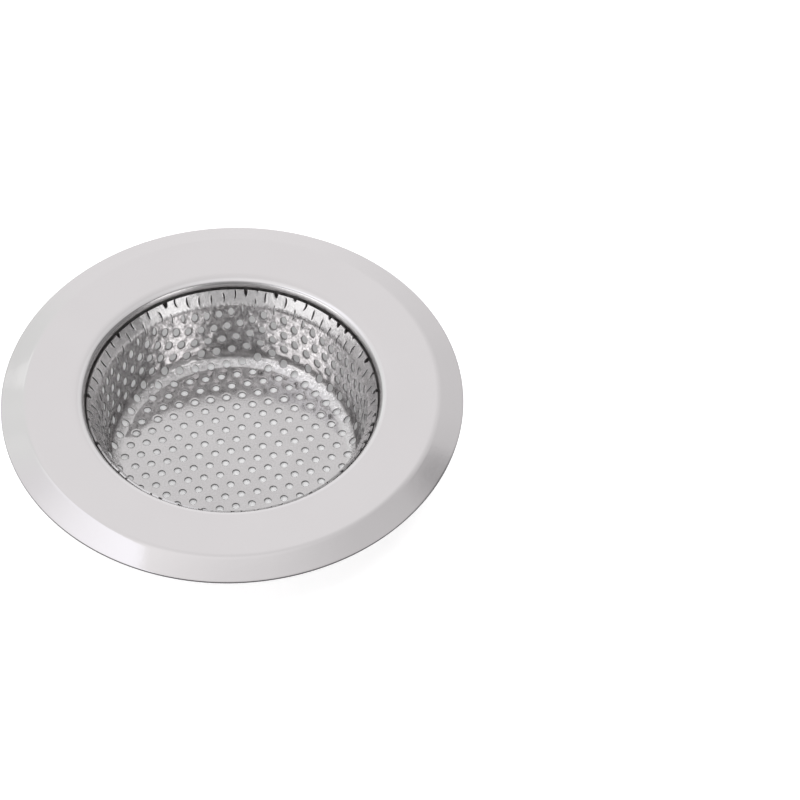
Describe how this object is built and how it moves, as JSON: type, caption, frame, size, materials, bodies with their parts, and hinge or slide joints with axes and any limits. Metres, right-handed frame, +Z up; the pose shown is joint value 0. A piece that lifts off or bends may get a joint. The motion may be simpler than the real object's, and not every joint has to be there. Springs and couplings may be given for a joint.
{
  "type": "sink strainer",
  "caption": "Round sink strainer: a wide polished flange with a rolled inner edge and short collar, holding a shallow drawn basket perforated on its bottom and wall.",
  "frame": {"origin": "middle of the basket's flat bottom, on which the strainer stands", "axes": "+Z up along the strainer's axis, out of the basket's mouth; -Y towards the viewer and +X to the viewer's right"},
  "size_m": [0.1142, 0.1142, 0.0237],
  "materials": {
    "rim_steel": "mirror-polished stainless steel",
    "basket_steel": "bright drawn stainless steel with faint draw marks"
  },
  "bodies": {
    "root": {"rim": "rim_steel", "basket": "basket_steel"}
  },
  "joints": []
}
